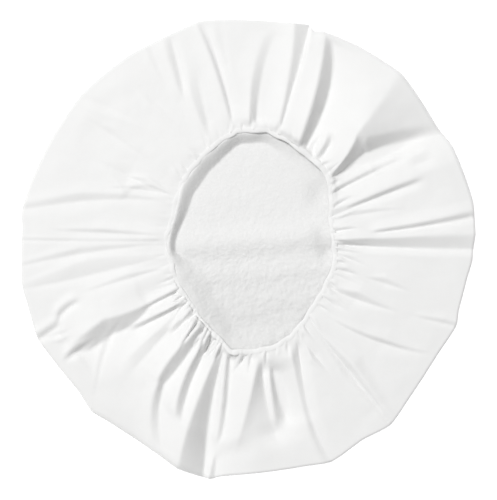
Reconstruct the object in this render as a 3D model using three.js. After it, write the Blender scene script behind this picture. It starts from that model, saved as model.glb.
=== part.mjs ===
// A rinse-free shampoo cap: a disposable bouffant cap with an absorbent fleece inside, lying on its crown
// with the mouth upwards, as it comes out of its pouch. Millimetres, +Z up, origin on the surface under its middle.
//
// cap_cover     one round sheet of laminated non-woven: flat crown, soft turn at the rim, gathered brim
// elastic_hem   the rolled hem round the mouth, with the elastic inside it
// fleece_liner  the fleece pad that lies on the crown inside the cap

import * as THREE from "three";

const CLOTH = 1.6; // wall of the cover
const GAP = 0.3; // clearance between neighbouring pieces
const SEGMENTS = 160; // steps round the cap
const RIM_HEIGHT = 9; // from the surface to the top of the turn at the rim
const RIM_DEPTH = 5; // how far in from the outline the turn begins
const BRIM_RISE = 4; // how much the middle of the brim arches up between rim and hem
const VALLEY_FLOOR = 13; // the lowest that the middle of the brim's wall sinks in a fold
const NARROWEST_FLANK = 7; // of a fold, at its outer end
const FOLD_TAPER = 0.42; // a fold's width at the hem, as a share of that at its outer end
const HEM_WIDTH = 4.2;
const HEM_HEIGHT = 3.8;
const HEM_SIDES = 6;
const GATHERS = 40; // puckers where the brim runs into the hem
const GATHER_HEIGHT = 1.7;
const GATHER_REACH = 0.3; // share of the brim that the puckers cover
const LINER_THICKNESS = 2.6;
const LINER_INSET = 14; // from the cap's outline to the liner's edge
const LINER_SWELL = 0.4; // height of the soft bands across the fleece
const MOUTH_CENTRE = new THREE.Vector2(3, 4);

// The cap's outline: corners where folds run out over the rim, by bearing in degrees from +X and radius.
const OUTLINE = [
  { bearing: 2, radius: 145 },
  { bearing: 18, radius: 146.5 },
  { bearing: 31.5, radius: 144.5 },
  { bearing: 49, radius: 148 },
  { bearing: 71, radius: 147 },
  { bearing: 76, radius: 148.5 },
  { bearing: 90, radius: 146.5 },
  { bearing: 102, radius: 149 },
  { bearing: 115, radius: 145.5 },
  { bearing: 137, radius: 145.5 },
  { bearing: 161, radius: 143.5 },
  { bearing: 172, radius: 145.5 },
  { bearing: 189, radius: 144.5 },
  { bearing: 203.5, radius: 144.5 },
  { bearing: 226, radius: 141.5 },
  { bearing: 250, radius: 144.5 },
  { bearing: 261, radius: 148.5 },
  { bearing: 272, radius: 143.5 },
  { bearing: 291.5, radius: 145.5 },
  { bearing: 309, radius: 144.5 },
  { bearing: 326, radius: 138 },
  { bearing: 340, radius: 141 },
  { bearing: 351, radius: 143.5 },
];

// The hem's inner edge, about MOUTH_CENTRE, and how high the hem's middle stands.
const MOUTH = [
  { bearing: 0, radius: 53.5, height: 17 },
  { bearing: 30, radius: 58.5, height: 18 },
  { bearing: 60, radius: 66.5, height: 19 },
  { bearing: 90, radius: 71.5, height: 20 },
  { bearing: 120, radius: 63.8, height: 21.5 },
  { bearing: 150, radius: 56, height: 21.5 },
  { bearing: 180, radius: 52.8, height: 20 },
  { bearing: 210, radius: 55.8, height: 17 },
  { bearing: 235, radius: 59.5, height: 15.5 },
  { bearing: 260, radius: 70, height: 15 },
  { bearing: 285, radius: 68, height: 14.5 },
  { bearing: 305, radius: 62, height: 14.5 },
  { bearing: 330, radius: 57.5, height: 15.5 },
];

// The brim's folds. hem and rim: bearings at which the fold's line meets hem and rim. inner and outer: the shares of
// the way in from the rim between which it shows. height: above (+) or below (-) the brim. width: at its outer end.
// lean: the share of its width on the counter-clockwise side, so the other side is the steep one above 0.5.
const FOLDS = [
  { hem: -1, rim: 0, inner: 1, outer: 0, height: -5, width: 20, lean: 0.72 },
  { hem: 2, rim: 10, inner: 0.75, outer: 0.05, height: 3.5, width: 18, lean: 0.7 },
  { hem: 20, rim: 23, inner: 1, outer: 0.3, height: -3, width: 12, lean: 0.3 },
  { hem: 33, rim: 28.7, inner: 1, outer: 0.18, height: 4.5, width: 12, lean: 0.4 },
  { hem: 39, rim: 31, inner: 1, outer: 0.02, height: 5, width: 12, lean: 0.3 },
  { hem: 42, rim: 36, inner: 1, outer: 0.02, height: -8.5, width: 46, lean: 0.75 },
  { hem: 46, rim: 50, inner: 1, outer: 0.03, height: 4, width: 26, lean: 0.6 },
  { hem: 53, rim: 61, inner: 1, outer: 0.6, height: -3, width: 14, lean: 0.5 },
  { hem: 64.8, rim: 69, inner: 1, outer: 0.1, height: -7, width: 24, lean: 0.25 },
  { hem: 70, rim: 73, inner: 1, outer: 0.02, height: 4.5, width: 14, lean: 0.4 },
  { hem: 74, rim: 76.5, inner: 1, outer: 0, height: -6.5, width: 20, lean: 0.7 },
  { hem: 83.8, rim: 79.5, inner: 0.95, outer: 0.12, height: 3.5, width: 15, lean: 0.5 },
  { hem: 89.7, rim: 84, inner: 1, outer: 0.15, height: -5, width: 16, lean: 0.6 },
  { hem: 98.5, rim: 95, inner: 0.9, outer: 0.03, height: 2.5, width: 14, lean: 0.5 },
  { hem: 100, rim: 102, inner: 0.95, outer: 0.04, height: -4, width: 14, lean: 0.35 },
  { hem: 112, rim: 110, inner: 0.95, outer: 0.02, height: -4, width: 14, lean: 0.35 },
  { hem: 117, rim: 114.5, inner: 0.9, outer: 0.05, height: 3, width: 18, lean: 0.5 },
  { hem: 128, rim: 140, inner: 0.85, outer: 0.1, height: 1.5, width: 30, lean: 0.5 },
  { hem: 152, rim: 162, inner: 0.97, outer: 0.02, height: 2.5, width: 16, lean: 0.5 },
  { hem: 158, rim: 168.5, inner: 0.97, outer: 0.02, height: -3.5, width: 18, lean: 0.5 },
  { hem: 169, rim: 173, inner: 0.97, outer: 0.03, height: 2.5, width: 15, lean: 0.5 },
  { hem: 176, rim: 180, inner: 0.97, outer: 0.02, height: -2.5, width: 13, lean: 0.4 },
  { hem: 188, rim: 187, inner: 0.97, outer: 0.01, height: -4, width: 18, lean: 0.5 },
  { hem: 203, rim: 199, inner: 1, outer: 0.12, height: 4.5, width: 30, lean: 0.5 },
  { hem: 213, rim: 207, inner: 1, outer: 0.1, height: -7.5, width: 24, lean: 0.7 },
  { hem: 227, rim: 229, inner: 1, outer: 0.3, height: 4.5, width: 24, lean: 0.55 },
  { hem: 238.3, rim: 245, inner: 1, outer: 0.18, height: -6.5, width: 20, lean: 0.72 },
  { hem: 241.5, rim: 247.5, inner: 1, outer: 0.3, height: 4, width: 9, lean: 0.5 },
  { hem: 245.5, rim: 250.5, inner: 1, outer: 0.28, height: -6, width: 13, lean: 0.65 },
  { hem: 248.8, rim: 253, inner: 1, outer: 0.25, height: 4.5, width: 9, lean: 0.4 },
  { hem: 252.7, rim: 257, inner: 1, outer: 0.04, height: -8.5, width: 26, lean: 0.72 },
  { hem: 258, rim: 263.5, inner: 1, outer: 0.35, height: -4, width: 10, lean: 0.4 },
  { hem: 262.5, rim: 265, inner: 1, outer: 0.2, height: 4, width: 18, lean: 0.5 },
  { hem: 273, rim: 267.5, inner: 1, outer: 0.22, height: -5.5, width: 24, lean: 0.35 },
  { hem: 275.6, rim: 283.5, inner: 1, outer: 0.35, height: -5.5, width: 18, lean: 0.3 },
  { hem: 285, rim: 284, inner: 1, outer: 0.3, height: 3.5, width: 16, lean: 0.5 },
  { hem: 291.5, rim: 291.5, inner: 1, outer: 0, height: -5, width: 16, lean: 0.6 },
  { hem: 307.6, rim: 309.5, inner: 0.95, outer: 0.05, height: -4.5, width: 13, lean: 0.6 },
  { hem: 316, rim: 330, inner: 0.95, outer: 0.15, height: -2.5, width: 14, lean: 0.6 },
  { hem: 329.5, rim: 349, inner: 1, outer: 0.45, height: -4, width: 14, lean: 0.5 },
  { hem: 344, rim: 347, inner: 0.9, outer: 0.35, height: -2.5, width: 12, lean: 0.5 },
];

const TURN = 360;
const smooth = (x) => THREE.MathUtils.smoothstep(x, 0, 1);
const mix = THREE.MathUtils.lerp;

// The shorter way round from one bearing to another, in degrees.
function bearingBetween(from, to) {
  return THREE.MathUtils.euclideanModulo(to - from + TURN / 2, TURN) - TURN / 2;
}

// A table's column as a smooth function of bearing, through each row, by cubics between the rows.
function roundTable(rows, column) {
  const slope = (i) => {
    const before = rows.at((i - 1 + rows.length) % rows.length);
    const after = rows.at((i + 1) % rows.length);
    return (after[column] - before[column]) / THREE.MathUtils.euclideanModulo(after.bearing - before.bearing, TURN);
  };
  return (bearing) => {
    const angle = THREE.MathUtils.euclideanModulo(bearing - rows[0].bearing, TURN) + rows[0].bearing;
    const i = rows.findLastIndex((row) => row.bearing <= angle);
    const next = (i + 1) % rows.length;
    const span = THREE.MathUtils.euclideanModulo(rows[next].bearing - rows[i].bearing, TURN);
    const t = (angle - rows[i].bearing) / span;
    const [start, end] = [rows[i][column], rows[next][column]];
    const rise = start * (2 * t + 1) * (1 - t) ** 2 + end * (3 - 2 * t) * t ** 2;
    return rise + span * (slope(i) * t * (1 - t) ** 2 - slope(next) * (1 - t) * t ** 2);
  };
}

const outlineRadius = roundTable(OUTLINE, "radius");
const mouthRadius = roundTable(MOUTH, "radius");
const hemHeight = roundTable(MOUTH, "height");

// A point in plan at a bearing and distance from a centre.
function outFrom(centre, bearing, distance) {
  const angle = THREE.MathUtils.degToRad(bearing);
  return new THREE.Vector2(Math.cos(angle), Math.sin(angle)).multiplyScalar(distance).add(centre);
}

const MIDDLE = new THREE.Vector2(0, 0);
const rimPoint = (bearing, inset) => outFrom(MIDDLE, bearing, outlineRadius(bearing) - inset);
const brimEdge = (bearing) => outFrom(MOUTH_CENTRE, bearing, mouthRadius(bearing) + HEM_WIDTH + GAP);

// How far one fold lifts or sinks the brim at a bearing, a share of the way in from the rim.
function foldLift(fold, bearing, share) {
  const along = bearingBetween(mix(fold.rim, fold.hem, share), bearing);
  const radius = mix(outlineRadius(bearing), mouthRadius(bearing), share);
  const aside = THREE.MathUtils.degToRad(along) * radius;
  const flank = Math.max(fold.width * (aside > 0 ? fold.lean : 1 - fold.lean), NARROWEST_FLANK);
  const half = flank * mix(1, FOLD_TAPER, share);
  if (Math.abs(aside) >= half) return 0;
  const across = 0.5 + 0.5 * Math.cos((Math.PI * aside) / half);
  const fadeOut = smooth((share - fold.outer) / 0.22);
  const fadeIn = smooth((fold.inner - share) / 0.14);
  return fold.height * across * fadeOut * fadeIn;
}

// The puckers at the hem, deepest a little way out from it.
function gatherLift(bearing, share) {
  const near = smooth((share - 1 + GATHER_REACH) / GATHER_REACH);
  const held = mix(1, 0.35, smooth((share - 0.9) / 0.1));
  return GATHER_HEIGHT * near * held * Math.cos(THREE.MathUtils.degToRad(bearing * GATHERS));
}

// Height of the middle of the brim's wall.
function brimHeight(bearing, share) {
  const level = mix(RIM_HEIGHT - CLOTH / 2, hemHeight(bearing), smooth(share * 1.25));
  const arch = BRIM_RISE * Math.sin(Math.PI * Math.sqrt(share));
  const folds = FOLDS.reduce((sum, fold) => sum + foldLift(fold, bearing, share), 0);
  const open = level + arch + folds + gatherLift(bearing, share);
  const floor = Math.min(VALLEY_FLOOR, level + arch);
  return open > floor + 1 ? open : floor + Math.exp(open - floor - 1);
}

// The middle of the cover's wall at a bearing and a way along the cloth: 0 to 1 is the crown from its centre out,
// 1 to 2 the turn at the rim, and 2 to 3 the brim, in to the hem.
function clothPoint(bearing, way) {
  const turnHeight = (RIM_HEIGHT - CLOTH) / 2;
  if (way <= 1) {
    const flat = rimPoint(bearing, RIM_DEPTH + CLOTH / 2).multiplyScalar(way);
    return new THREE.Vector3(flat.x, flat.y, CLOTH / 2);
  }
  const toHem = brimEdge(bearing).sub(rimPoint(bearing, CLOTH / 2));
  if (way < 2) {
    const tilt = Math.PI * (way - 1.5);
    const inset = RIM_DEPTH * (1 - Math.cos(tilt));
    const flat = rimPoint(bearing, CLOTH / 2).addScaledVector(toHem, inset / toHem.length());
    return new THREE.Vector3(flat.x, flat.y, CLOTH / 2 + turnHeight * (1 + Math.sin(tilt)));
  }
  const start = RIM_DEPTH / toHem.length();
  const share = way - 2;
  const flat = rimPoint(bearing, CLOTH / 2).addScaledVector(toHem, mix(start, 1, share));
  return new THREE.Vector3(flat.x, flat.y, brimHeight(bearing, share));
}

// The direction out of the cover, square to the cloth.
function clothNormal(bearing, way) {
  if (way <= 1) return new THREE.Vector3(0, 0, -1);
  if (way === 3) return new THREE.Vector3(0, 0, 1);
  const step = 0.01;
  const round = clothPoint(bearing + 1, way).sub(clothPoint(bearing - 1, way));
  const along = clothPoint(bearing, Math.min(way + step, 3)).sub(clothPoint(bearing, way - step));
  return round.cross(along).normalize();
}

// A closed body turned about the cap's middle: place gives each profile row's point at each bearing.
function turnedBody(rows, segments, place) {
  const geometry = new THREE.LatheGeometry(rows.map((_, i) => new THREE.Vector2(1, i)), segments);
  const position = geometry.getAttribute("position");
  for (let i = 0; i < position.count; i += 1) {
    const step = Math.floor(i / rows.length) % segments;
    const point = place((step * TURN) / segments, rows[i % rows.length]);
    position.setXYZ(i, point.x, point.y, point.z);
  }
  geometry.computeVertexNormals();
  return geometry;
}

// The ways along the cloth that get a ring of vertices, from the crown's centre to the hem.
function clothWays() {
  const turn = [1, 1.25, 1.5, 1.75, 2];
  const brim = [0.1, 0.22, 0.34, 0.46, 0.58, 0.69, 0.8, 0.9, 1];
  return [0, ...turn, ...brim.map((share) => 2 + share)];
}

function coverGeometry() {
  const ways = clothWays();
  const outside = ways.map((way) => ({ way, side: 1 }));
  const inside = ways.map((way) => ({ way, side: -1 })).reverse();
  return turnedBody([...outside, ...inside], SEGMENTS, (bearing, { way, side }) => {
    const offset = clothNormal(bearing, way).multiplyScalar((side * CLOTH) / 2);
    return clothPoint(bearing, way).add(offset);
  });
}

function hemGeometry() {
  const corners = Array.from({ length: HEM_SIDES + 1 }, (_, i) => (i % HEM_SIDES) * (TURN / HEM_SIDES));
  return turnedBody(corners, SEGMENTS, (bearing, corner) => {
    const tilt = THREE.MathUtils.degToRad(corner - 90);
    const out = (HEM_WIDTH / 2) * (1 + Math.cos(tilt) / Math.cos(Math.PI / HEM_SIDES));
    const flat = outFrom(MOUTH_CENTRE, bearing, mouthRadius(bearing) + out);
    return new THREE.Vector3(flat.x, flat.y, hemHeight(bearing) + (HEM_HEIGHT / 2) * Math.sin(tilt));
  });
}

// Profile rows of the liner: inset from its edge and height as a share of its thickness.
function linerGeometry() {
  const low = CLOTH + GAP;
  const rows = [
    { reach: 0, level: 0 },
    { reach: 0.985, level: 0 },
    { reach: 1, level: 0.5 },
    { reach: 0.98, level: 0.95 },
    { reach: 0.75, level: 1 },
    { reach: 0.5, level: 1 },
    { reach: 0.25, level: 1 },
    { reach: 0, level: 1 },
  ];
  return turnedBody(rows, SEGMENTS / 4, (bearing, { reach, level }) => {
    const flat = rimPoint(bearing, LINER_INSET).multiplyScalar(reach);
    const band = level === 1 ? LINER_SWELL * Math.sin((flat.y + flat.x / 4) / 12) : 0;
    return new THREE.Vector3(flat.x, flat.y, low + level * LINER_THICKNESS + band);
  });
}

const laminate = new THREE.MeshStandardMaterial({ color: 0xf3f3f0, roughness: 0.55, metalness: 0 });
const hemCloth = new THREE.MeshStandardMaterial({ color: 0xf5f5f2, roughness: 0.7, metalness: 0 });
const fleece = new THREE.MeshStandardMaterial({ color: 0xececea, roughness: 1, metalness: 0 });

function piece(name, geometry, material) {
  const mesh = new THREE.Mesh(geometry, material);
  mesh.name = name;
  return mesh;
}

const cap = new THREE.Group();
cap.add(piece("cap_cover", coverGeometry(), laminate));
cap.add(piece("elastic_hem", hemGeometry(), hemCloth));
cap.add(piece("fleece_liner", linerGeometry(), fleece));

export default cap;
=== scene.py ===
import math
from collections import namedtuple

import bmesh
import bpy
import numpy as np
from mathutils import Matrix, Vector, noise


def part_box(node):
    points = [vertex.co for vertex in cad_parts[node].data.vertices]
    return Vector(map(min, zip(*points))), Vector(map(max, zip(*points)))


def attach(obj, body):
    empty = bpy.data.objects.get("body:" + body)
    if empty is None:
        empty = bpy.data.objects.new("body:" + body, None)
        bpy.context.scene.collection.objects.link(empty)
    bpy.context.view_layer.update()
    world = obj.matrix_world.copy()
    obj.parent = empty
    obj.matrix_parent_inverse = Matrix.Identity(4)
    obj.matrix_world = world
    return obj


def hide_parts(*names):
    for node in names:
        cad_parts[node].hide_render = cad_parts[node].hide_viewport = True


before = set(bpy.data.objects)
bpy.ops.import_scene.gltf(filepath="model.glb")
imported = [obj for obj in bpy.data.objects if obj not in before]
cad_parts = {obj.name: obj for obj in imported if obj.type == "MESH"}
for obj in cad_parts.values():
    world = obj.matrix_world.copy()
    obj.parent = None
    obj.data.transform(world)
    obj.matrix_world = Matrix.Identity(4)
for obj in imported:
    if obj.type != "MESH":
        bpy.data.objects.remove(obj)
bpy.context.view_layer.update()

# ---- The cover -----------------------------------------------------------------------------------------
# One thin round sheet, film outside and non-woven inside, 460 mm across. It lies on its crown, turns over
# at the rim in a crease with no seam, and comes back as a brim that stands in papery pleats and, where an
# elastic draws its edge into an egg-shaped mouth, broad end to +Y, in fine nips.
cover_low, cover_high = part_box("cap_cover")
hem_low, hem_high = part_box("elastic_hem")
liner_low, liner_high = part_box("fleece_liner")
CAP_RADIUS = (cover_high.x - cover_low.x) / 2
MOUTH_LENGTH = (hem_high.y - hem_low.y) / 2
MOUTH_MIDDLE = np.array([0.003, 0.004])
MM = 0.001

# The outline has corners where pleats run out over the rim: their radius, as a share of CAP_RADIUS, by
# bearing in degrees from +X.
RIM_CORNERS = {
    0: 0.989, 4: 1.000, 12: 1.010, 27: 1.006, 33: 0.991, 49: 1.025, 62: 1.018, 71: 1.015, 73.3: 1.004,
    75: 1.024, 80: 1.012, 90: 1.009, 95: 1.015, 102: 1.025, 110: 1.006, 122: 1.002, 137: 1.001, 150: 0.992,
    163: 1.000, 171: 1.010, 174: 0.998, 189: 1.006, 195: 0.999, 203: 1.004, 211: 0.981, 220: 0.971,
    226: 0.989, 231: 0.973, 240: 0.969, 247: 0.986, 252: 1.010, 260.5: 1.022, 263: 1.004, 270: 0.985,
    284: 0.982, 291.5: 1.000, 301: 0.974, 309: 0.991, 318: 0.960, 331: 0.950, 340: 0.973, 344: 0.962,
    352: 0.968, 357: 0.985,
}
# The hem's inner edge about MOUTH_MIDDLE at each of its bends, as a share of MOUTH_LENGTH.
MOUTH_BENDS = {
    4: 0.658, 15: 0.665, 26: 0.714, 36: 0.789, 42: 0.829, 54: 0.853, 68: 0.881, 75: 0.912, 83: 0.943,
    91: 0.931, 98: 0.942, 105: 0.902, 112: 0.863, 122: 0.827, 131: 0.788, 140: 0.766, 150: 0.721,
    161: 0.693, 174: 0.703, 181: 0.709, 188: 0.702, 195: 0.682, 202: 0.695, 209: 0.706, 222: 0.708,
    231: 0.747, 246: 0.811, 259: 0.912, 272: 0.894, 284: 0.865, 292: 0.833, 308: 0.745, 323: 0.697,
    334: 0.694, 344: 0.692, 354: 0.679,
}
# The height of the hem's middle, in metres.
HEM_HEIGHT = {0: 0.0094, 30: 0.0098, 60: 0.0106, 90: 0.0111, 120: 0.0112, 150: 0.0111, 180: 0.0108,
              215: 0.0105, 240: 0.0101, 270: 0.0096, 300: 0.0093, 330: 0.0092}
# How it rises and falls between the gathers: by how many mm, how often round and from which angle.
Ripple = namedtuple("Ripple", "size count start")
HEM_RISES = [Ripple(0.25, 17, 0), Ripple(0.2, 29, 70)]


def straight_table(rows):
    """Radius by bearing, along straight lines from each row's point to the next."""
    at = np.array(sorted(rows), dtype=float)
    radius = np.array([rows[a] for a in at])

    def read(bearing):
        angle = (np.asarray(bearing) - at[0]) % 360 + at[0]
        i = np.searchsorted(at, angle, side="right") - 1
        j = (i + 1) % len(at)
        span = np.radians((at[j] - at[i]) % 360)
        past = np.radians(angle - at[i])
        offset = radius[i] * np.sin(past) + radius[j] * np.sin(span - past)
        return radius[i] * radius[j] * np.sin(span) / offset

    return read


def round_table(rows):
    """The table's values as a function of bearing, through every row, by cubics that meet smoothly."""
    at = np.array(sorted(rows))
    value = np.array([rows[a] for a in at])
    span = np.roll(at, -1) - at
    span[-1] += 360
    slope = (np.roll(value, -1) - np.roll(value, 1)) / (span + np.roll(span, 1))

    def read(bearing):
        angle = (np.asarray(bearing) - at[0]) % 360 + at[0]
        i = np.searchsorted(at, angle, side="right") - 1
        j = (i + 1) % len(at)
        t = (angle - at[i]) / span[i]
        ends = value[i] * (2 * t + 1) * (1 - t) ** 2 + value[j] * (3 - 2 * t) * t**2
        return ends + span[i] * (slope[i] * t * (1 - t) ** 2 - slope[j] * (1 - t) * t**2)

    return read


straight_outline = straight_table(RIM_CORNERS)
round_outline = round_table(RIM_CORNERS)
mouth = straight_table(MOUTH_BENDS)
smooth_mouth = round_table(MOUTH_BENDS)
hem_level = round_table(HEM_HEIGHT)


def outline(bearing):
    return (straight_outline(bearing) + round_outline(bearing)) / 2


def rippled(ripples, bearing):
    """The ripples' sum, in metres."""
    return MM * sum(row.size * np.sin(np.radians(bearing * row.count + row.start)) for row in ripples)


def hem_height(bearing):
    return hem_level(bearing) + rippled(HEM_RISES, bearing)


def towards(bearing):
    return np.stack([np.cos(np.radians(bearing)), np.sin(np.radians(bearing))], axis=-1)


def ease(x):
    x = np.clip(x, 0, 1)
    return x * x * (3 - 2 * x)


def blend(a, b, t):
    return a + (b - a) * t


CLOTH = 0.5 * MM
RIM_THICKNESS = 9.5 * MM  # from the surface to the top of the turn at the rim
# How far in from the outline the turn begins, in metres: the more, the rounder the rim.
RIM_TURN = round_table({0: 0.0006, 15: 0.0008, 30: 0.0013, 60: 0.0013, 75: 0.0008, 100: 0.0006, 200: 0.0008,
                        225: 0.0014, 231: 0.0028, 245: 0.0032, 257: 0.0034, 261: 0.0014, 264: 0.0008,
                        285: 0.0005, 300: 0.0004, 350: 0.0004})
BRIM_CURVE = 1.25  # above 1, the brim rises most near the rim and levels out at the hem
BRIM_EDGE_LIFT = 0.75 * MM  # how far above the hem's middle the brim runs into it
LOWEST_AT_RIM = 1.4 * MM  # no pleat's foot sinks below these two
LOWEST_AT_HEM = 5.2 * MM
SETTLING = 1.0 * MM  # a foot that comes nearer to them than this eases off
HEM_WIDTH = 4.2 * MM
DISC_WELD = 1e-5  # closes a spun sheet's middle, before it is laid out
ROUND_STEPS = 600
CROWN_RINGS = 5
TURN_RINGS = 6
BRIM_RINGS = 66

# A facet is one of the large flat sides of a pleat. Columns: the shares of the way in from the rim between
# which it lies, outer and inner; three bearings each, at its outer end, its middle and its inner end, of
# its foot and of its ridge; its depths there from ridge to foot in mm; the widths in mm of the slope in
# front of the foot and of the slope behind the ridge; how far it bulges, below 0 if it is hollow; and the
# share of the way in over which its ends close.
Facet = namedtuple("Facet", "outer inner foot ridge depth front back bulge end")
FACETS = [
    Facet(-0.15, 1.02, (0.4, -0.5, -0.4), (3.6, 3.8, 2.7), (3.2, 5.2, 4.8), 5, 12, 0.0, 0.10),
    Facet(-0.06, 0.76, (8.7, 6.9, 5.7), (10.0, 8.4, 6.9), (2.0, 5.0, 2.2), 5, 8, 0.0, 0.10),
    Facet(0.25, 0.94, (21.2, 20.9, 20.4), (22.6, 22.6, 21.6), (1.0, 4.2, 1.2), 5, 8, 0.0, 0.12),
    Facet(0.12, 0.38, (26.0, 26.4, 27.0), (29.2, 29.2, 29.4), (1.2, 2.2, 1.0), 7, 4, 0.0, 0.10),
    Facet(0.32, 1.02, (29.8, 31.0, 32.4), (31.0, 32.8, 33.8), (1.0, 3.8, 2.8), 4, 8, 0.0, 0.12),
    Facet(-0.10, 0.62, (30.6, 33.8, 38.0), (49.6, 47.9, 46.6), (6.0, 12.5, 15.0), 22, 46, 0.5, 0.04),
    Facet(0.58, 0.98, (38.3, 39.2, 39.9), (46.8, 43.2, 41.4), (15.0, 12.5, 3.5), 22, 46, 0.0, 0.04),
    Facet(0.70, 1.00, (54.2, 51.6, 51.8), (56.4, 54.6, 54.0), (2.0, 5.4, 3.0), 6, 6, 0.0, 0.10),
    Facet(0.00, 1.00, (69.2, 62.6, 61.6), (70.4, 67.3, 65.2), (1.2, 12.0, 7.5), 28, 30, 0.0, 0.06),
    Facet(-0.20, 1.00, (75.1, 74.6, 76.6), (79.2, 77.4, 77.6), (6.5, 4.8, 2.2), 2.2, 16, 0.0, 0.10),
    Facet(0.06, 0.97, (82.7, 86.4, 88.4), (84.6, 89.4, 91.4), (0.6, 2.8, 5.0), 16, 12, 0.0, 0.08),
    Facet(-0.05, 0.95, (102.2, 99.9, 99.0), (103.4, 101.3, 100.4), (1.2, 3.2, 1.2), 8, 8, 0.0, 0.12),
    Facet(-0.05, 0.56, (110.0, 111.4, 114.0), (111.8, 113.4, 115.4), (0.8, 2.6, 1.0), 6, 8, 0.0, 0.12),
    Facet(0.28, 0.95, (106.5, 108.6, 111.3), (109.5, 112.0, 112.6), (0.6, 2.2, 1.6), 10, 8, 0.0, 0.20),
    Facet(-0.08, 0.20, (203.2, 202.9, 201.6), (201.8, 201.2, 199.6), (2.4, 3.0, 2.6), 4, 6, 0.0, 0.05),
    Facet(0.13, 0.36, (201.5, 198.6, 197.8), (199.6, 196.6, 196.4), (2.6, 3.2, 1.0), 4, 6, 0.0, 0.06),
    Facet(0.12, 0.48, (211.4, 212.6, 211.6), (208.8, 207.4, 206.0), (2.6, 9.0, 8.4), 24, 30, 0.0, 0.06),
    Facet(0.42, 0.78, (212.2, 213.4, 210.9), (206.0, 208.2, 209.8), (8.4, 7.2, 2.0), 24, 30, 0.0, 0.06),
    Facet(0.68, 1.04, (210.6, 211.4, 213.0), (209.4, 210.0, 211.4), (1.8, 4.0, 3.6), 5, 6, 0.0, 0.10),
    Facet(0.53, 1.00, (215.4, 218.2, 222.0), (213.8, 216.2, 220.2), (2.0, 5.2, 4.0), 8, 6, 0.0, 0.10),
    Facet(0.30, 1.00, (226.6, 226.2, 225.6), (222.6, 222.0, 222.4), (0.8, 3.0, 2.2), 8, 8, 0.0, 0.20),
    Facet(0.74, 1.02, (228.2, 228.9, 229.2), (226.2, 226.2, 227.6), (1.8, 4.6, 3.2), 4, 3, 0.0, 0.08),
    Facet(0.00, 0.46, (247.0, 241.2, 237.8), (244.2, 238.6, 235.6), (0.8, 3.8, 7.0), 24, 30, 0.0, 0.05),
    Facet(0.41, 1.00, (237.6, 239.6, 240.0), (235.4, 234.6, 238.2), (7.0, 9.5, 3.0), 24, 30, 0.0, 0.05),
    Facet(0.26, 1.02, (248.6, 246.2, 246.8), (246.6, 242.9, 244.8), (2.2, 9.4, 4.2), 20, 24, 0.0, 0.08),
    Facet(-0.10, 1.00, (259.2, 256.6, 254.6), (252.6, 250.9, 252.2), (9.5, 14.5, 4.0), 34, 38, 0.2, 0.06),
    Facet(0.24, 1.02, (261.4, 261.2, 257.8), (260.2, 259.2, 256.0), (1.2, 6.4, 6.0), 12, 10, 0.0, 0.10),
    Facet(-0.15, 0.22, (261.9, 261.5, 261.0), (260.2, 260.2, 260.2), (3.8, 2.6, 0.8), 6, 4, 0.0, 0.10),
    Facet(0.14, 0.97, (279.5, 276.0, 274.4), (266.0, 268.8, 272.8), (1.4, 11.4, 4.6), 26, 24, 0.0, 0.18),
    Facet(0.28, 0.90, (282.0, 281.2, 278.8), (278.6, 277.9, 277.6), (0.8, 10.4, 1.4), 22, 16, 0.0, 0.14),
    Facet(-0.10, 0.96, (292.2, 289.7, 294.8), (290.4, 287.9, 290.2), (1.6, 2.8, 5.4), 8, 10, 0.0, 0.10),
]

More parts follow.
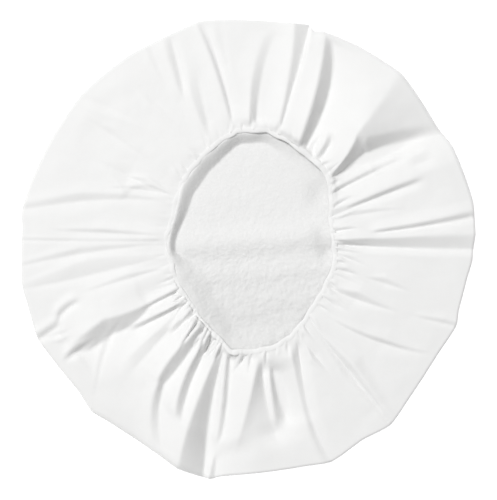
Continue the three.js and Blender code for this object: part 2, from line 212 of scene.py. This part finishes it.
# A pleat has a foot, a face that climbs from it to a crest, a back that falls from the crest to the brim's
# own level, and a front that rises to it on the foot's other side. Columns: the bearing of its foot at the
# rim, half-way in and at the hem; the shares of the way in from the rim at its outer end, where it is
# fullest and at its inner end; its height from foot to crest in mm; the widths in mm of its face,
# counter-clockwise above 0 and clockwise below, its back and its front; and how far its face bulges, below
# 0 if it is hollow.
Pleat = namedtuple("Pleat", "rim middle hem outer fullest inner height face back front bulge")
PLEATS = [
    Pleat(0.0, -0.5, -1.5, 0.62, 0.92, 1.08, 2.0, 3.0, 4, 2, 0.0),
    Pleat(9.0, 9.0, 8.6, 0.80, 0.95, 1.15, 2.6, 2.5, 3, 3, 0.0),
    Pleat(11.0, 14.0, 16.8, 0.45, 0.80, 1.08, 1.6, 3.0, 5, 5, 0.0),
    Pleat(25.0, 25.0, 24.3, 0.72, 0.90, 1.08, 1.6, 3.0, 3, 3, 0.0),
    Pleat(33.0, 36.0, 38.5, -0.05, 0.54, 0.74, 6.0, 12.0, 24, 14, 0.3),
    Pleat(58.0, 58.0, 57.5, 0.76, 0.90, 1.05, 2.0, 2.5, 3, 3, 0.0),
    Pleat(97.5, 97.0, 96.0, -0.25, 0.15, 0.60, 1.0, 3.0, 5, 5, 0.0),
    Pleat(116.0, 118.0, 121.0, -0.15, 0.10, 0.38, 1.0, 3.0, 4, 4, 0.0),
    Pleat(127.0, 122.5, 119.0, 0.20, 0.42, 0.70, 1.2, 4.0, 7, 6, 0.0),
    Pleat(138.0, 131.6, 126.0, -0.10, 0.20, 0.55, 1.3, 5.0, 7, 6, 0.0),
    Pleat(141.5, 140.8, 140.0, 0.10, 0.36, 0.66, 1.4, -5.0, 7, 6, 0.0),
    Pleat(150.5, 150.5, 150.0, 0.36, 0.62, 0.72, 2.6, 9.0, 9, 9, 0.0),
    Pleat(155.0, 152.0, 149.0, 0.55, 0.75, 0.95, 1.8, -4.0, 4, 4, 0.0),
    Pleat(169.8, 162.6, 152.5, -0.40, 0.35, 0.92, 2.1, -6.0, 10, 9, 0.0),
    Pleat(168.0, 158.0, 148.5, 0.50, 0.78, 0.98, 2.0, -4.0, 5, 4, 0.0),
    Pleat(174.5, 174.8, 174.6, 0.15, 0.55, 1.00, 1.8, -2.5, 6, 6, 0.0),
    Pleat(184.0, 182.0, 180.0, -0.20, 0.40, 1.00, 1.8, -4.0, 8, 6, 0.0),
    Pleat(190.0, 190.0, 188.5, -0.10, 0.45, 0.98, 2.4, -11.0, 8, 6, 0.4),
    Pleat(195.0, 195.2, 195.5, 0.30, 0.70, 1.02, 1.6, -3.0, 5, 4, 0.0),
    Pleat(204.2, 206.0, 208.0, 0.04, 0.11, 0.24, 3.0, 2.0, 3, 4, 0.0),
    Pleat(211.2, 209.4, 207.6, 0.03, 0.13, 0.34, 5.0, -3.0, 6, 6, 0.7),
    Pleat(226.0, 210.5, 200.0, -0.05, 0.35, 0.60, 1.6, -4.0, 4, 4, 0.0),
    Pleat(234.0, 250.5, 267.2, 0.80, 0.93, 1.06, 3.4, -2.4, 3, 3, 0.0),
    Pleat(308.0, 302.5, 297.0, 0.55, 0.75, 0.93, 2.4, -2.6, 4, 4, 0.0),
    Pleat(309.3, 308.3, 306.0, -0.20, 0.50, 0.88, 4.8, 5.0, 9, 5, 0.3),
    Pleat(331.0, 322.5, 314.0, 0.02, 0.40, 0.88, 3.0, 3.0, 9, 10, 0.3),
    Pleat(330.0, 327.0, 323.0, 0.72, 0.88, 1.02, 1.8, 3.0, 3, 3, 0.0),
    Pleat(341.0, 335.5, 329.5, 0.42, 0.76, 1.02, 3.4, 5.0, 8, 6, 0.2),
    Pleat(339.8, 335.8, 331.0, -0.30, 0.10, 0.38, 1.8, 3.0, 5, 4, 0.0),
    Pleat(345.0, 344.4, 343.5, 0.38, 0.60, 0.76, 2.2, 4.0, 4, 4, 0.0),
    Pleat(348.0, 346.0, 342.5, 0.80, 0.90, 1.05, 2.4, 3.0, 3, 2, 0.0),
    Pleat(356.0, 356.0, 354.8, 0.78, 0.95, 1.15, 2.8, 2.5, 2.5, 2, 0.0),
]
FOOT_SHARE = 0.55  # how much of a pleat's height lies below the brim's own level
SAG = 1.5  # how much the slopes in front and behind ease off away from the pleat; 1 is straight
ROUNDING = 0.35 * MM
NARROWEST = 0.15  # a pleat's width where it runs out, as a share of its width where it is fullest
NARROWEST_FACET = 1.0 * MM

# The nips at the hem: how many stand round it, the bearings of some more where the gathers crowd, and how
# strong they are by bearing, where 1 gives the sizes below.
NIPS = 57
CLOSE_NIPS = np.linspace(203, 261, 15)
NIP_STRENGTH = round_table({0: 0.9, 40: 0.85, 90: 0.6, 130: 0.3, 165: 0.2, 200: 0.5, 235: 1.3, 262: 1.1,
                            290: 0.5, 320: 0.6, 345: 0.85})
# No two are alike: how far they stray, as a share of the space between them, how many degrees they slant
# from hem to rim, and the least and the most of their length, as a share of the way in, and of their sizes
# in mm.
NIP_STRAY = 0.38
NIP_SLANT = 12
NIP_LENGTH = (0.05, 0.26)
NIP_GROWTH = 0.6  # how much a nip's length grows with its strength
NIP_HEIGHT = (1.2, 3.8)
NIP_FACE = (1.2, 2.6)
NIP_BACK = (1.5, 4.0)
NIP_FRONT = (1.2, 2.6)
NIP_FULLEST = 0.95
NIP_INNER = 1.03
gathers = np.random.default_rng(17)


def nips():
    """Short narrow pleats all round the hem."""
    rows = []
    space = 360 / NIPS
    for bearing in [*np.arange(NIPS) * 360 / NIPS, *CLOSE_NIPS]:
        hem = (bearing + gathers.uniform(-NIP_STRAY, NIP_STRAY) * space) % 360
        strength = NIP_STRENGTH(hem)
        length = gathers.uniform(*NIP_LENGTH) * (NIP_GROWTH + NIP_GROWTH * strength)
        slant = gathers.normal(0, NIP_SLANT)
        rows.append(Pleat(
            rim=hem + slant, middle=hem + slant / 2, hem=hem,
            outer=1 - length, fullest=NIP_FULLEST, inner=NIP_INNER,
            height=gathers.uniform(*NIP_HEIGHT) * strength,
            face=gathers.uniform(*NIP_FACE) * gathers.choice([-1, 1]),
            back=gathers.uniform(*NIP_BACK), front=gathers.uniform(*NIP_FRONT), bulge=0.0))
    return rows


NIP_ROWS = nips()


def through(values, t):
    """A curve that takes the three values at t = 0, 1/2 and 1."""
    start, middle, end = values
    return start * (1 - t) * (1 - 2 * t) + 4 * middle * t * (1 - t) + end * t * (2 * t - 1)


def section(aside, height, face, back, front, bulge):
    """How far a pleat stands from the brim's level, by the distance aside of its foot, all in metres."""
    foot = -height * FOOT_SHARE
    crest = height * (1 - FOOT_SHARE)
    lift = 0
    for shift in (-ROUNDING, 0, ROUNDING):
        along = aside + shift
        climb = np.clip(along / face, 0, 1)
        side = blend(foot, crest, climb * (1 + bulge * (1 - climb)))
        ahead = foot * np.clip(1 + along / front, 0, 1) ** SAG
        behind = crest * np.clip(1 - (along - face) / back, 0, 1) ** SAG
        lift = lift + np.where(along < 0, ahead, np.where(along > face, behind, side))
    return lift / 3


def arc(bearing, start, radius):
    """The distance from start round to bearing, in metres, below 0 if it lies clockwise."""
    return np.radians((bearing - start + 180) % 360 - 180) * radius


def pleat_lift(pleat, bearing, share, radius):
    growing = (share - pleat.outer) / (pleat.fullest - pleat.outer)
    waning = (pleat.inner - share) / (pleat.inner - pleat.fullest)
    full = np.clip(np.minimum(growing, waning), 0, 1)
    width = MM * blend(NARROWEST, 1, full)
    foot = through((pleat.rim, pleat.middle, pleat.hem), share)
    aside = arc(bearing, foot, radius) * np.sign(pleat.face)
    return full * section(aside, pleat.height * MM, abs(pleat.face) * width, pleat.back * width,
                          pleat.front * width, pleat.bulge)


def facet_lift(facet, bearing, share, radius):
    t = np.clip((share - facet.outer) / (facet.inner - facet.outer), 0, 1)
    foot = through(facet.foot, t)
    width = arc(through(facet.ridge, t), foot, radius)
    aside = arc(bearing, foot, radius) * np.sign(width)
    full = ease(np.minimum(share - facet.outer, facet.inner - share) / facet.end)
    depth = through(facet.depth, t) * MM
    lift = section(aside, depth, np.maximum(abs(width), NARROWEST_FACET), facet.back * MM,
                   facet.front * MM, facet.bulge)
    return full * lift


def brim_height(bearing, share):
    rise = 1 - (1 - share) ** BRIM_CURVE
    level = blend(RIM_THICKNESS - CLOTH / 2, hem_height(bearing) + BRIM_EDGE_LIFT, rise)
    radius = blend(CAP_RADIUS, mouth(bearing) * MOUTH_LENGTH, share)
    lift = sum(facet_lift(facet, bearing, share, radius) for facet in FACETS)
    lift = lift + sum(pleat_lift(pleat, bearing, share, radius) for pleat in PLEATS + NIP_ROWS)
    lowest = blend(LOWEST_AT_RIM, LOWEST_AT_HEM, ease(share))
    height = level + lift
    eased = lowest + SETTLING * np.exp((height - lowest) / SETTLING - 1)
    return np.where(height > lowest + SETTLING, height, eased)


# Noise over a surface: its height in mm, how close its lumps lie across and up, and which cut through it.
Lumps = namedtuple("Lumps", "height across up cut")
SOFT_CRUMPLE = Lumps(0.5, 34, 34, 1.7)
PAPERY_CRUMPLE = Lumps(0.45, 40, 40, 6.2)
PAPERY_OCTAVES = 3
CRUMPLE_RIM = 0.125  # the shares of the way in over which the crumple fades out at the rim and at the hem
CRUMPLE_HEM = 0.1


def lumps_at(lumps, x, y):
    return Vector((x * lumps.across, y * lumps.up, lumps.cut))


def crumple(x, y):
    """The sheet's own slight unevenness, in metres."""
    rows = []
    for px, py in zip(x, y):
        broad = noise.noise(lumps_at(SOFT_CRUMPLE, px, py))
        papery = noise.turbulence(lumps_at(PAPERY_CRUMPLE, px, py), PAPERY_OCTAVES, True)
        rows.append(SOFT_CRUMPLE.height * broad + PAPERY_CRUMPLE.height * papery)
    return np.array(rows) * MM


# Lines that the columns of the sheet's grid run along: their bearings at the rim, half-way in and at the
# hem.
GRAIN_STEP = 360 / ROUND_STEPS
GRAIN_LINES = [
    (0.6, -0.4, -0.4), (9.0, 7.2, 6.2), (22.0, 21.2, 20.6), (31.2, 36.3, 40.0), (49.4, 47.4, 43.0),
    (70.0, 62.6, 61.6), (75.1, 74.6, 76.8), (81.6, 86.6, 89.6), (102.6, 100.4, 99.6), (110.4, 113.0, 115.6),
    (169.8, 162.6, 152.5), (184.0, 182.0, 180.0), (190.0, 190.0, 188.5), (209.6, 208.8, 212.0),
    (245.0, 237.4, 239.6), (252.7, 246.2, 246.6), (258.8, 256.6, 254.4), (264.0, 269.8, 273.6),
    (291.5, 288.6, 293.0), (309.3, 308.3, 306.0), (331.0, 322.5, 314.0), (341.0, 335.5, 329.5),
]
GRAIN_TURNS = np.array([round(line[1] / GRAIN_STEP) * GRAIN_STEP for line in GRAIN_LINES])


def follow(turn, share):
    """The bearing that a column of the sheet's grid has got to on its way in."""
    drift = [np.interp(turn, GRAIN_TURNS, bearings - GRAIN_TURNS, period=360)
             for bearings in np.transpose(GRAIN_LINES)]
    return turn + through(drift, share)


def rim_point(bearing, inset=0.0):
    return towards(bearing) * (outline(bearing) * CAP_RADIUS - inset)[..., None]


def brim_edge(bearing):
    return MOUTH_MIDDLE + towards(bearing) * (mouth(bearing) * MOUTH_LENGTH + 0.5 * HEM_WIDTH)[..., None]


def cover_place(turn, way):
    """Where the sheet's points lie: way is 0 to 1 on the crown, to 2 round the rim, to 3 in to the hem."""
    share = np.clip(way - 2, 0, 1)
    bearing = follow(turn, share)
    turned = RIM_TURN(bearing)
    crown = rim_point(bearing, turned) * np.minimum(way, 1)[:, None]
    swing = np.pi * (np.clip(way, 1, 2) - 1.5)
    rim = rim_point(bearing)
    inward = brim_edge(bearing) - rim
    start = turned / np.linalg.norm(inward, axis=1)
    along = np.where(way <= 2, start * (1 - np.cos(swing)), blend(start, 1, share))
    brim = rim + inward * along[:, None]
    flat = np.where((way <= 1)[:, None], crown, brim)
    free = ease(share / CRUMPLE_RIM) * ease((1 - share) / CRUMPLE_HEM)
    top = brim_height(bearing, share) + free * crumple(brim[:, 0], brim[:, 1])
    half = (top - CLOTH / 2) / 2
    height = np.where(way <= 2, CLOTH / 2 + half * (1 + np.sin(swing)), top)
    height = np.where(way <= 1, CLOTH / 2, height)
    return np.column_stack([flat, height])


def spin_round(shape, steps):
    bmesh.ops.spin(shape, geom=shape.verts[:] + shape.edges[:], cent=(0, 0, 0), axis=(0, 0, 1),
                   angle=2 * math.pi, steps=steps, use_merge=True)


def piece_of(name, shape):
    bmesh.ops.recalc_face_normals(shape, faces=shape.faces[:])
    mesh = bpy.data.meshes.new(name)
    shape.to_mesh(mesh)
    shape.free()
    mesh.shade_smooth()
    piece = bpy.data.objects.new(name, mesh)
    bpy.context.scene.collection.objects.link(piece)
    return piece


def spun_disc(name, ways, steps):
    """A round sheet whose rings stand at the given ways out from its middle, as a mesh to be laid out."""
    shape = bmesh.new()
    row = [shape.verts.new((way, 0, 0)) for way in ways]
    for a, b in zip(row, row[1:]):
        shape.edges.new((a, b))
    spin_round(shape, steps)
    bmesh.ops.remove_doubles(shape, verts=shape.verts[:], dist=DISC_WELD)
    return piece_of(name, shape)


def points_of(mesh):
    points = np.empty(len(mesh.vertices) * 3)
    mesh.vertices.foreach_get("co", points)
    return points.reshape(-1, 3)


def lay(piece, place):
    """Moves a spun disc's vertices to place(turn, way)."""
    points = points_of(piece.data)
    turn = np.degrees(np.arctan2(points[:, 1], points[:, 0]))
    way = np.hypot(points[:, 0], points[:, 1])
    piece.data.vertices.foreach_set("co", place(turn, way).ravel())
    piece.data.update()


crown_ways = np.linspace(0, 1, CROWN_RINGS)
turn_ways = np.linspace(1, 2, TURN_RINGS)[1:]
brim_ways = 2 + np.linspace(0, 1, BRIM_RINGS)[1:]
cover = spun_disc("cap_cover_cloth", [*crown_ways, *turn_ways, *brim_ways], ROUND_STEPS)
lay(cover, cover_place)
wall = cover.modifiers.new("wall", "SOLIDIFY")
wall.thickness = CLOTH
wall.offset = 0


class Socket:
    """An output in a material's tree, with the arithmetic that the materials below are written in."""

    def __init__(self, finish, output):
        self.finish = finish
        self.output = output

    def maths(self, operation, *values):
        return self.finish.add("ShaderNodeMath", {"operation": operation}, dict(enumerate(values)))

    def __add__(self, other):
        return self.maths("ADD", self, other)

    def __sub__(self, other):
        return self.maths("SUBTRACT", self, other)

    def __rsub__(self, other):
        return self.maths("SUBTRACT", other, self)

    def __mul__(self, other):
        return self.maths("MULTIPLY", self, other)

    __radd__ = __add__
    __rmul__ = __mul__


class Finish:
    """A new material and its node tree."""

    def __init__(self, name):
        self.material = bpy.data.materials.new(name)
        self.material.use_nodes = True
        self.tree = self.material.node_tree
        self.tree.nodes.clear()

    def add(self, kind, settings=None, inputs=None, output=0):
        """Adds a node, its settings first, then its sockets' values or links, and gives back one output."""
        node = self.tree.nodes.new(kind)
        for name, value in (settings or {}).items():
            setattr(node, name, value)
        for name, value in (inputs or {}).items():
            if isinstance(value, Socket):
                self.tree.links.new(value.output, node.inputs[name])
            else:
                node.inputs[name].default_value = value
        return Socket(self, node.outputs[output]) if node.outputs else node

    def place(self):
        return self.add("ShaderNodeTexCoord", output="Object")

    def noise(self, where, size, detail=3.0, roughness=0.5, stretch=None):
        """Noise from 0 to 1 whose lumps are about size metres across."""
        if stretch:
            where = self.add("ShaderNodeMapping", inputs={"Vector": where, "Scale": stretch})
        return self.add("ShaderNodeTexNoise", inputs={
            "Vector": where, "Scale": 1 / size, "Detail": detail, "Roughness": roughness}, output="Fac")

    def split(self, where, axis):
        return self.add("ShaderNodeSeparateXYZ", inputs={"Vector": where}, output=axis)

    def colour(self, share, low, high):
        return self.add("ShaderNodeMix", {"data_type": "RGBA"}, {
            "Factor": share, 6: (*low, 1), 7: (*high, 1)}, output=2)

    def bump(self, height, depth, normal=None):
        inputs = {"Height": height, "Distance": depth, "Strength": 1.0}
        if normal:
            inputs["Normal"] = normal
        return self.add("ShaderNodeBump", inputs=inputs)

    def surface(self, **inputs):
        """The Principled shader with these inputs; underscores in names stand for spaces."""
        named = {name.replace("_", " "): value for name, value in inputs.items()}
        shader = self.add("ShaderNodeBsdfPrincipled", inputs=named)
        self.add("ShaderNodeOutputMaterial", inputs={"Surface": shader})
        return self.material


def dress(piece, material):
    piece.data.materials.clear()
    piece.data.materials.append(material)


def cover_finish():
    """Film-faced non-woven: white, softly satin, with fine random fibres pressed under the film."""
    finish = Finish("film_faced_nonwoven")
    where = finish.place()
    fibres = finish.noise(where, 0.9 * MM, detail=4, roughness=0.6)
    streaks = finish.noise(where, 2.2 * MM, detail=2, stretch=(1, 0.25, 1))
    cloudy = finish.noise(where, 14 * MM, detail=2)
    tone = fibres * 0.35 + streaks * 0.25 + cloudy * 0.4
    normal = finish.bump(fibres * 0.6 + streaks * 0.4, 0.05 * MM)
    normal = finish.bump(cloudy, 0.3 * MM, normal)
    return finish.surface(
        Base_Color=finish.colour(tone, (0.79, 0.79, 0.785), (0.83, 0.83, 0.825)),
        Roughness=0.65 + fibres * 0.15,
        Normal=normal,
        Specular_IOR_Level=0.1,
    )


dress(cover, cover_finish())
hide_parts("cap_cover")
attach(cover, "root")

# ---- The hem -------------------------------------------------------------------------------------------
# The sheet's edge is rolled over a thin elastic and stitched, so it stands up round the mouth as a narrow
# soft cord, drawn into small gathers a few millimetres apart.
HEM_STEPS = 760
HEM_SIDES = 18
HEM_DEPTH = 2.4 * MM
HEM_SQUARENESS = 0.75
HEM_SWAYS = [Ripple(0.3, 17, 0), Ripple(0.25, 31, 40)]  # how it strays in and out between the gathers
NIP_BITE = 0.6  # how much of the cord's outer half a nip of strength 1 takes
NIP_FLATTENING = 0.5  # and how much of that bite its height loses
SPUN_REACH = 2  # the reach and the radius that the ring is spun with, before it is laid out
SPUN_RADIUS = 0.4
HEM_NIPS = np.array(sorted(row.hem for row in NIP_ROWS))


def gather_wave(bearing):
    """0 in the nips between the gathers and 1 on the middle of each."""
    nips = np.append(HEM_NIPS, HEM_NIPS[0] + 360)
    angle = (bearing - nips[0]) % 360 + nips[0]
    i = np.clip(np.searchsorted(nips, angle, side="right") - 1, 0, len(nips) - 2)
    t = (angle - nips[i]) / (nips[i + 1] - nips[i])
    return np.sqrt(np.clip(np.sin(np.pi * t), 0, 1))


def squared(x):
    return np.sign(x) * np.abs(x) ** HEM_SQUARENESS


def hem_place(bearing, tilt):
    """tilt runs once round the cord's section, which is a little square."""
    nipped = NIP_BITE * NIP_STRENGTH(bearing) * (1 - gather_wave(bearing))
    outward = np.clip(np.cos(tilt), 0, 1)
    middle = mouth(bearing) * MOUTH_LENGTH + HEM_WIDTH / 2 + rippled(HEM_SWAYS, bearing)
    reach = middle + HEM_WIDTH / 2 * (1 - nipped * outward) * squared(np.cos(tilt))
    flat = MOUTH_MIDDLE + towards(bearing) * reach[:, None]
    half = HEM_DEPTH / 2 * (1 - nipped * NIP_FLATTENING)
    return np.column_stack([flat, hem_height(bearing) + half * squared(np.sin(tilt))])


def hem_ring():
    shape = bmesh.new()
    bmesh.ops.create_circle(shape, segments=HEM_SIDES, radius=SPUN_RADIUS)
    for vert in shape.verts:
        vert.co = (SPUN_REACH + vert.co.x, 0, vert.co.y)
    spin_round(shape, HEM_STEPS)
    ring = piece_of("hem_gathered_cord", shape)
    points = points_of(ring.data)
    bearing = np.degrees(np.arctan2(points[:, 1], points[:, 0]))
    tilt = np.arctan2(points[:, 2], np.hypot(points[:, 0], points[:, 1]) - SPUN_REACH) % (2 * np.pi)
    ring.data.vertices.foreach_set("co", hem_place(bearing, tilt).ravel())
    ring.data.update()
    return ring


def hem_finish():
    """The rolled edge: the same sheet, unfaced side out, a little brighter and more matt."""
    finish = Finish("rolled_hem")
    where = finish.place()
    fibres = finish.noise(where, 0.8 * MM, detail=4, roughness=0.6)
    return finish.surface(
        Base_Color=finish.colour(fibres, (0.80, 0.80, 0.795), (0.84, 0.84, 0.835)),
        Roughness=0.7 + fibres * 0.15,
        Normal=finish.bump(fibres, 0.12 * MM),
        Specular_IOR_Level=0.1,
    )


hem = hem_ring()
dress(hem, hem_finish())
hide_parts("elastic_hem")
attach(hem, "root")

# ---- The fleece ----------------------------------------------------------------------------------------
# A pad of soft needled fleece, bonded to the crown's inside, that holds the shampoo. It lies flat with slow
# waves across it, and its face is a close nap of small curled tufts.
FLEECE_STEPS = 420
FLEECE_INSET = 16 * MM
FLEECE_LOW = liner_low.z
FLEECE_THICKNESS = liner_high.z - liner_low.z
FLEECE_EDGE = 0.5 * MM
FACE_LEVEL = 0.62  # the face's own height above the underside, as a share of the thickness
FACE_RISE = 0.45  # the share of the way in over which the face rises from its edge
UNDERSIDE_WAYS = [0, 0.5, 0.98, 1.0]
SKIRT_RINGS = 14
NAP_RINGS = 110
NAP_RADIUS = 0.62  # the share of the pad that shows through the mouth and has its nap modelled
MIDDLE_WELD = 5e-6  # closes the pad's middle once it is laid out

# Slow waves across the pad: where each crosses the middle, its half width and its height, in mm.
Wave = namedtuple("Wave", "up half_width height")
FLEECE_WAVES = [Wave(36, 14, 0.7), Wave(5, 8, 2.2), Wave(-15, 7, 1.0), Wave(-34, 9, 0.8), Wave(-5, 45, 1.5)]
WAVE_TILT = 0.08
# Dents in its face: where they are, their radius and their depth, in mm.
Dent = namedtuple("Dent", "across up radius depth")
FLEECE_DENTS = [Dent(46, 35, 8, 2.2), Dent(51, -1, 6, 3.2), Dent(47, 8, 6, 1.9)]
# The pad climbs to the hem on the side where the hem stands highest: by how much and over what width, in
# mm, and how soft its slope is, from 0, where it falls from the hem at once, to 1, where it is S-shaped.
BANK_HEIGHT = round_table({0: 0, 30: 0, 50: 0.3, 65: 1.8, 80: 4.6, 90: 6.6, 98: 7.5, 115: 7.8, 140: 7.8,
                           155: 7.5, 165: 7.1, 176: 6.4, 186: 5.6, 198: 5.4, 215: 5.3, 240: 4.9, 262: 3.8,
                           285: 1.7, 305: 0.4, 330: 0})
BANK_WIDTH = round_table({0: 12, 30: 12, 50: 10, 78: 8, 90: 6, 98: 7.2, 115: 8.6, 138: 8.6, 152: 7.0,
                          163: 5.4, 172: 4.6, 181: 3.8, 187: 4.4, 195: 11, 204: 17, 240: 18, 300: 12,
                          330: 12})
BANK_SOFT = round_table({0: 1, 60: 1, 85: 0.8, 95: 0.5, 150: 0.5, 170: 0.5, 180: 0.6, 188: 0.8, 196: 1,
                         240: 1, 300: 1})
BANK_BEND = 3
BANK_BACK = 8.0  # how far under the brim the waves and the climb die out, in mm
SWELL = Lumps(0.3, 28, 40, 5.1)
NAP = [Lumps(0.36, 190, 230, 4.4), Lumps(0.3, 430, 470, 2.2), Lumps(0.18, 950, 950, 9.4)]
NAP_SHORT = 0.3  # the nap's height where it is shortest, as a share of its full height
NAP_TOP = 40 * MM  # the nap is short beyond this and grows towards the mouth's narrow end
NAP_SPAN = 75 * MM


def fleece_top(x, y):
    """Height of the fleece's face above its underside: slow waves, soft dents and the nap."""
    height = np.zeros(len(x))
    for wave in FLEECE_WAVES:
        across = ((y - WAVE_TILT * x) / MM - wave.up) / wave.half_width
        height += wave.height * np.exp(-across**2)
    aside = np.column_stack([x, y]) - MOUTH_MIDDLE
    bearing = np.degrees(np.arctan2(aside[:, 1], aside[:, 0]))
    inside = (smooth_mouth(bearing) * MOUTH_LENGTH - np.linalg.norm(aside, axis=1)) / MM
    for dent in FLEECE_DENTS:
        away = np.hypot(x / MM - dent.across, y / MM - dent.up) / dent.radius
        height -= dent.depth * np.exp(-away**2)
    down = np.clip(inside / BANK_WIDTH(bearing), 0, 1)
    bank = BANK_HEIGHT(bearing) * (1 - blend((down + down**BANK_BEND) / 2, ease(down), BANK_SOFT(bearing)))
    height = (height + bank) * ease(1 + inside / BANK_BACK)
    long = blend(NAP_SHORT, 1, ease((NAP_TOP - y) / NAP_SPAN))
    for i, (px, py) in enumerate(zip(x, y)):
        tufts = sum(layer.height * noise.noise(lumps_at(layer, px, py)) for layer in NAP)
        height[i] += SWELL.height * noise.noise(lumps_at(SWELL, px, py)) + long[i] * tufts
    return FLEECE_THICKNESS * FACE_LEVEL + height * MM


def fleece_place(bearing, way):
    """way is 0 to 1 across the underside, and to 2 back over the face, which thins out to its edge."""
    reach = np.where(way <= 1, way, 2 - way)
    flat = rim_point(bearing, FLEECE_INSET) * reach[:, None]
    face = ease((1 - reach) / FACE_RISE)
    top = blend(FLEECE_EDGE, fleece_top(flat[:, 0], flat[:, 1]), face)
    height = FLEECE_LOW + np.where(way <= 1, 0.0, top)
    return np.column_stack([flat, height])


skirt_ways = 2 - np.linspace(1, NAP_RADIUS, SKIRT_RINGS)[1:-1]
nap_ways = 2 - np.linspace(NAP_RADIUS, 0, NAP_RINGS)
fleece = spun_disc("fleece_pad", [*UNDERSIDE_WAYS, *skirt_ways, *nap_ways], FLEECE_STEPS)
lay(fleece, fleece_place)
shape = bmesh.new()
shape.from_mesh(fleece.data)
bmesh.ops.remove_doubles(shape, verts=shape.verts[:], dist=MIDDLE_WELD)
bmesh.ops.recalc_face_normals(shape, faces=shape.faces[:])
shape.to_mesh(fleece.data)
shape.free()


# Painted shade: its tone falls towards the mouth's narrow end, between these places up the pad, by this
# share.
PAINTED_SHADE_FROM = 0.02
PAINTED_SHADE_TO = -0.05
PAINTED_SHADE_SHARE = 0.55


def fleece_finish():
    """Off-white polyester fleece, matt; painted shade greys its nap's hollows and the mouth's narrow end.
    """
    finish = Finish("needled_fleece")
    where = finish.place()
    tufts = finish.noise(where, 1.6 * MM, detail=5, roughness=0.65)
    clouds = finish.noise(where, 22 * MM, detail=2, stretch=(0.3, 1, 1))
    up = finish.split(where, "Y")
    # Painted shade, darker towards the mouth's narrow end.
    painted_shade = finish.add("ShaderNodeMapRange", inputs={
        "Value": up, "From Min": PAINTED_SHADE_FROM, "From Max": PAINTED_SHADE_TO, "To Min": 0.0, "To Max": PAINTED_SHADE_SHARE,
    }, output="Result")
    # The tufts' noise also greys the tone where their bump is low: painted shade in the nap's hollows.
    tone = tufts * 0.6 + clouds * 0.5 - painted_shade
    return finish.surface(
        Base_Color=finish.colour(tone, (0.74, 0.74, 0.735), (0.85, 0.85, 0.845)),
        Roughness=0.9 + tufts * 0.1,
        Normal=finish.bump(tufts, 0.35 * MM),
        Specular_IOR_Level=0.1,
        Sheen_Weight=0.3,
        Sheen_Roughness=0.6,
    )


dress(fleece, fleece_finish())
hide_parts("fleece_liner")
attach(fleece, "root")

# ---- Floor, light and camera ---------------------------------------------------------------------------
# A white table under a soft even light from all round, with one broad lamp high to the upper left that
# gives the pleats their shade. The camera looks straight down.
FLOOR_SIZE = 6
FLOOR_DROP = 0.0002
FLOOR_GLOW = 0.65
bpy.ops.mesh.primitive_plane_add(size=FLOOR_SIZE, location=(0, 0, -FLOOR_DROP))
floor = bpy.context.object
floor.name = "floor"
floor_finish = Finish("white_table")
dress(floor, floor_finish.surface(
    Base_Color=(0.9, 0.9, 0.9, 1),
    Roughness=0.9,
    Specular_IOR_Level=0.0,
    Emission_Color=(1, 1, 1, 1),
    Emission_Strength=FLOOR_GLOW,
))

SKY_GLOW = 0.405
world = bpy.data.worlds.new("studio")
bpy.context.scene.world = world
world.use_nodes = True
sky = world.node_tree.nodes["Background"]
sky.inputs["Color"].default_value = (1, 1, 1, 1)
sky.inputs["Strength"].default_value = SKY_GLOW

LAMP_BEARING = 137
LAMP_RISE = 62
LAMP_DISTANCE = 4.0
LAMP_WIDTH = 1.1
LAMP_POWER = 122
lamp_data = bpy.data.lights.new("key", "AREA")
lamp_data.shape = "DISK"
lamp_data.size = LAMP_WIDTH
lamp_data.energy = LAMP_POWER
lamp = bpy.data.objects.new("key", lamp_data)
bpy.context.scene.collection.objects.link(lamp)
level = math.radians(LAMP_BEARING)
rise = math.radians(LAMP_RISE)
aim = Vector((math.cos(level) * math.cos(rise), math.sin(level) * math.cos(rise), math.sin(rise)))
lamp.location = aim * LAMP_DISTANCE
lamp.rotation_euler = aim.to_track_quat("Z", "Y").to_euler()

CAMERA_HEIGHT = 2.2
CAMERA_OVER = (0.0002, -0.0002)
FRAME_HEIGHT = 0.3196
camera_data = bpy.data.cameras.new("camera")
camera_data.lens = camera_data.sensor_width * CAMERA_HEIGHT / FRAME_HEIGHT
camera = bpy.data.objects.new("camera", camera_data)
bpy.context.scene.collection.objects.link(camera)
camera.location = (*CAMERA_OVER, CAMERA_HEIGHT)
bpy.context.scene.camera = camera
bpy.context.scene.view_settings.view_transform = "Standard"
